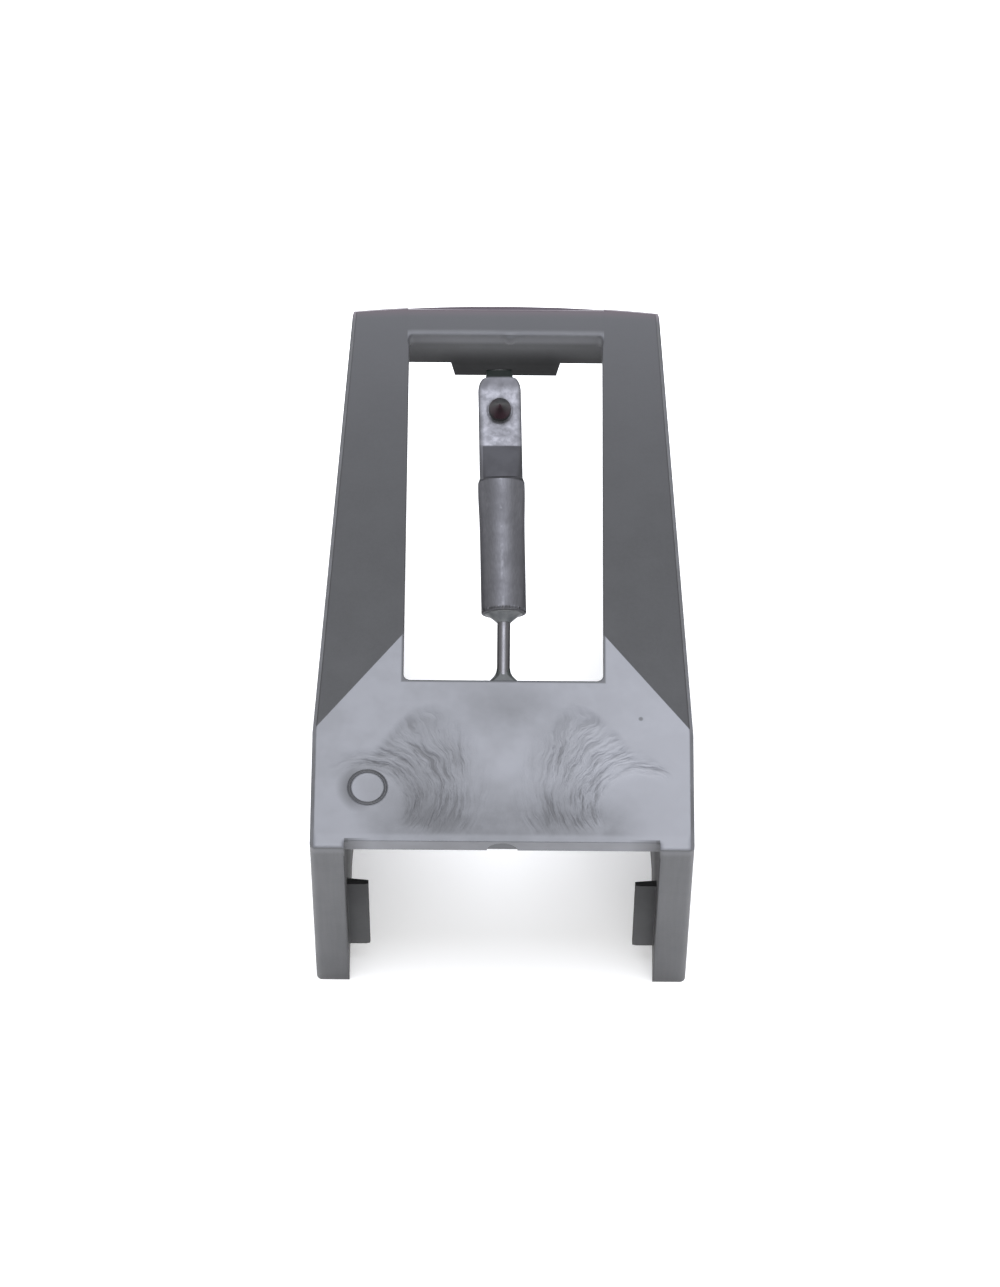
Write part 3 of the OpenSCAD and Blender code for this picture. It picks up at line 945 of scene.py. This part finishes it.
def plug_piece():
    """The plug: a cylinder inside the mouth and a slightly hollow cone down to the wire. With t
    from 0 at the tail to 1 at the mouth, the cone's radius is the tail's, plus the difference
    between the two times 0.75 t + 0.25 t^2.4."""
    tail_r, mouth_r, inside = 0.2, 0.53, BORE_R - 0.005
    end = TUBE_FROM + 0.5
    t = np.linspace(0, 1, 14)
    cone_s = PLUG_TAIL + (TUBE_FROM - 0.002 - PLUG_TAIL) * t
    cone_r = tail_r + (mouth_r - tail_r) * (0.75 * t + 0.25 * t**2.4)
    profile = [(PLUG_TAIL - 0.012, 0.13), (PLUG_TAIL - 0.012, tail_r - 0.01)]
    profile += list(zip(cone_s, cone_r))
    profile += [(TUBE_FROM + 0.03, inside), (end, inside), (end, 0.05)]
    return close_rings("tube_plug_resin", revolved(profile, 72, on_tube), flip=True)


def wire_piece(name, start, end, radius):
    """A straight round rod along the wire's axis, with enough rings to bend smoothly."""
    s = np.concatenate([[start, start + 0.001], np.linspace(start + 0.01, end - 0.01, 36)])
    s = np.concatenate([s, [end - 0.001, end]])
    profile = [(start, radius * 0.4)] + [(v, radius) for v in s] + [(end, radius * 0.4)]
    return close_rings(name, revolved(profile, 32, on_wire), flip=True)


def bead_piece():
    """The bead of adhesive: its radius falls from the plate to the wire's 0.18 mm as
    0.24 exp(-(s / 0.22)^2) more, with a slow wave round it so that it isn't a perfect turned
    shape."""
    around = 64
    turn = np.linspace(0, 2 * np.pi, around, endpoint=False)
    t = np.linspace(0, 1, 30)
    s = -0.1 + (BEAD_END + 0.2) * t
    r = 0.184 + 0.24 * np.exp(-((np.maximum(s, 0) / 0.22) ** 2))
    fade = 1 - t[:, None]
    wave = 1 + 0.07 * np.sin(2 * turn + 0.7) * fade + 0.04 * np.sin(3 * turn) * fade
    x = r[:, None] * np.cos(turn) * wave
    n = r[:, None] * np.sin(turn) * wave * 0.86
    grid = on_wire(x, np.repeat(s[:, None], around, axis=1), n)
    # the drop stays below the plate's face where it creeps back under the edge
    grid[..., 2] = np.minimum(grid[..., 2], PLATE_Z - 0.006)
    return close_rings("anchor_bead_drop", grid, flip=True)


def jewel_piece():
    """The jewel: a straight shank with a broken edge, a cone and a ball end, turned about an
    axis that stands on the blade."""
    r, base, cone, ball = 0.31, 0.40, 0.46, 0.02
    around = 72
    half = math.atan(r / cone)
    centre = base + cone - ball / math.sin(half)
    profile = [(-0.27, 0.05), (-0.27, r - 0.05), (-0.22, r)]
    profile += [(base - 0.012, r), (base + 0.008, r - 0.01)]
    t = np.linspace(0.04, 1, 16)
    meet_n, meet_r = centre + ball * math.sin(half), ball * math.cos(half)
    profile += [(base + (meet_n - base) * v, r - 0.006 + (meet_r - r + 0.006) * v) for v in t]
    angles = np.linspace(half, math.pi / 2, 8)[1:-1]
    profile += [(centre + ball * math.sin(a), ball * math.cos(a)) for a in angles]
    n, radius = np.array(profile).T
    turn = np.linspace(0, 2 * np.pi, around, endpoint=False)
    x = radius[:, None] * np.cos(turn)
    s = TIP_S + radius[:, None] * np.sin(turn)
    grid = on_tube(x, s, np.repeat(n[:, None], around, axis=1))
    return close_rings("stylus_jewel", grid)


# ---------------------------------------------------------------- operators


class STYLUS_OT_shared_effects(bpy.types.Operator):
    """Build the node groups that several materials use"""

    bl_idname = "stylus.shared_effects"
    bl_label = "Shared Effects"

    def execute(self, context):
        grain_group()
        handling_group()
        drawn_group()
        return {"FINISHED"}


class STYLUS_OT_holder(bpy.types.Operator):
    """Build the moulded holder with its polished plate and matt rails"""

    bl_idname = "stylus.holder"
    bl_label = "Holder"

    def execute(self, context):
        look = context.scene.stylus_holder
        piece = holder_piece()
        piece.data.materials.append(matt_plastic(look))
        piece.data.materials.append(polished_plastic(look))
        piece.data.materials.append(bevel_highlight_plastic(look))
        finish = face_finish(piece.data)
        if not (finish == 1).any():
            raise RuntimeError("the holder has no level plate to polish")
        piece.data.polygons.foreach_set("material_index", finish)
        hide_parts("holder_frame")
        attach(piece, "root")
        return {"FINISHED"}


class STYLUS_OT_bead(bpy.types.Operator):
    """Build the bead of adhesive at the wire's root"""

    bl_idname = "stylus.bead"
    bl_label = "Adhesive Bead"

    def execute(self, context):
        piece = bead_piece()
        piece.data.materials.append(adhesive())
        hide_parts("anchor_bead")
        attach(piece, "root")
        return {"FINISHED"}


class STYLUS_OT_wire(bpy.types.Operator):
    """Build the suspension wire in two halves"""

    bl_idname = "stylus.wire"
    bl_label = "Suspension Wire"

    def execute(self, context):
        look = context.scene.stylus_arm
        radius = look.wire_width / MM / 2
        steel = wire_steel(look)
        back = wire_piece("wire_back_half", -0.3, WIRE_MIDDLE, radius)
        front = wire_piece("wire_front_half", WIRE_MIDDLE, PLUG_TAIL + 0.2, radius)
        for piece in (back, front):
            piece.data.materials.append(steel)
            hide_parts("suspension_wire")
        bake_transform(back)
        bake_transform(front)
        return {"FINISHED"}


class STYLUS_OT_tube(bpy.types.Operator):
    """Build the aluminium tube with its flattened blade"""

    bl_idname = "stylus.tube"
    bl_label = "Cantilever Tube"

    def execute(self, context):
        look = context.scene.stylus_arm
        piece = tube_piece()
        piece.data.materials.append(tube_aluminium(look))
        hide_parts("cantilever_tube")
        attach(piece, "cantilever")
        return {"FINISHED"}


class STYLUS_OT_plug(bpy.types.Operator):
    """Build the resin plug in the mouth of the tube"""

    bl_idname = "stylus.plug"
    bl_label = "Tube Plug"

    def execute(self, context):
        piece = plug_piece()
        piece.data.materials.append(plug_resin())
        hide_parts("tube_plug")
        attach(piece, "cantilever")
        return {"FINISHED"}


class STYLUS_OT_jewel(bpy.types.Operator):
    """Build the jewel tip"""

    bl_idname = "stylus.jewel"
    bl_label = "Jewel Tip"

    def execute(self, context):
        piece = jewel_piece()
        piece.data.materials.append(ground_jewel(context.scene.stylus_arm))
        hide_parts("stylus_tip")
        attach(piece, "cantilever")
        return {"FINISHED"}


def soft_lamp(name, direction, distance, width, depth, radiance, tint=(1.0, 1.0, 1.0)):
    """A rectangular lamp that faces the plate from a direction given as a unit vector."""
    light = bpy.data.lights.new(name, "AREA")
    light.shape = "RECTANGLE"
    light.size, light.size_y = width, depth
    # an area lamp's power in watts is its radiance times pi times its area
    light.energy = radiance * math.pi * width * depth
    light.color = tint
    lamp = bpy.data.objects.new(name, light)
    bpy.context.scene.collection.objects.link(lamp)
    away = np.array(direction) / np.linalg.norm(direction)
    side = np.array([1.0, 0.0, 0.0])
    side = side - away * side.dot(away)
    side /= np.linalg.norm(side)
    up = np.cross(away, side)
    place = np.array([0.0, -0.001, PLATE_Z * MM]) + away * distance
    matrix = np.eye(4)
    matrix[:3, 0], matrix[:3, 1], matrix[:3, 2], matrix[:3, 3] = side, up, away, place
    lamp.matrix_world = Matrix(matrix.tolist())


class STYLUS_OT_stage(bpy.types.Operator):
    """Build the table, the lamps, the room light and the camera"""

    bl_idname = "stylus.stage"
    bl_label = "Stage"

    def execute(self, context):
        look = context.scene.stylus_stage
        scene = context.scene
        scene.view_settings.view_transform = "Standard"
        corners = np.array([[-1, -1, 0], [1, -1, 0], [1, 1, 0], [-1, 1, 0]]) * TABLE_HALF
        floor = new_piece("table_top", corners / MM, [[0, 1, 2, 3]], smooth=False)
        floor.data.materials.append(pale_floor())

        world = bpy.data.worlds.new("Room")
        world.use_nodes = True
        world.node_tree.nodes["Background"].inputs["Color"].default_value = (1, 1, 1, 1)
        world.node_tree.nodes["Background"].inputs["Strength"].default_value = look.room
        scene.world = world

        # the overhead lamp spans from 10 degrees behind the plumb line to 31 in front
        middle, reach = math.radians(-10.5), math.radians(20.5)
        distance = 0.5
        direction = (0.0, -math.sin(middle), math.cos(middle))
        depth = 2 * distance * math.tan(reach)
        width = 2 * distance * math.tan(math.radians(20))
        cool = (0.95, 0.975, 1.06)
        soft_lamp("overhead", direction, distance, width, depth, look.overhead, cool)
        low_front = (0.1, -1.0, 0.35)
        soft_lamp("front_fill", low_front, distance=0.6, width=0.5, depth=0.3, radiance=3.6)

        tilt = look.tilt
        data = bpy.data.cameras.new("photo_camera")
        data.sensor_fit = "VERTICAL"
        data.sensor_height = SENSOR
        data.lens = look.lens
        data.clip_start = 0.005
        data.clip_end = 20.0
        camera = bpy.data.objects.new("photo_camera", data)
        scene.collection.objects.link(camera)
        away = np.array([0.0, -math.sin(tilt), math.cos(tilt)])
        right, up = np.array([1.0, 0.0, 0.0]), np.array([0.0, math.cos(tilt), math.sin(tilt)])
        target = np.array(TARGET) * MM
        matrix = np.eye(4)
        matrix[:3, 0] = right * math.cos(ROLL) + up * math.sin(ROLL)
        matrix[:3, 1] = up * math.cos(ROLL) - right * math.sin(ROLL)
        matrix[:3, 2] = away
        matrix[:3, 3] = target + away * look.distance
        camera.matrix_world = Matrix(matrix.tolist())
        scene.camera = camera
        return {"FINISHED"}


class STYLUS_PT_pieces(bpy.types.Panel):
    """Lists the stylus's pieces and settings in the sidebar"""

    bl_label = "Turntable Stylus"
    bl_idname = "STYLUS_PT_pieces"
    bl_space_type = "VIEW_3D"
    bl_region_type = "UI"
    bl_category = "Stylus"

    def draw(self, context):
        layout = self.layout
        for settings in ("stylus_holder", "stylus_arm", "stylus_stage"):
            box = layout.box()
            group_of = getattr(context.scene, settings)
            for key in group_of.__annotations__:
                box.prop(group_of, key)
        for operator in PIECE_OPERATORS:
            layout.operator(operator.bl_idname)


PIECE_OPERATORS = (
    STYLUS_OT_shared_effects,
    STYLUS_OT_stage,
    STYLUS_OT_holder,
    STYLUS_OT_bead,
    STYLUS_OT_wire,
    STYLUS_OT_tube,
    STYLUS_OT_plug,
    STYLUS_OT_jewel,
)
SETTINGS = {"stylus_holder": HolderLook, "stylus_arm": ArmLook, "stylus_stage": StageLook}


def register():
    for settings in SETTINGS.values():
        bpy.utils.register_class(settings)
    for operator in (*PIECE_OPERATORS, STYLUS_PT_pieces):
        bpy.utils.register_class(operator)
    for name, settings in SETTINGS.items():
        setattr(bpy.types.Scene, name, bpy.props.PointerProperty(type=settings))


def unregister():
    for name in SETTINGS:
        delattr(bpy.types.Scene, name)
    for operator in (STYLUS_PT_pieces, *reversed(PIECE_OPERATORS)):
        bpy.utils.unregister_class(operator)
    for settings in SETTINGS.values():
        bpy.utils.unregister_class(settings)


def main():
    register()
    for operator in PIECE_OPERATORS:
        family, name = operator.bl_idname.split(".")
        getattr(getattr(bpy.ops, family), name)()


if __name__ == "__main__":
    main()
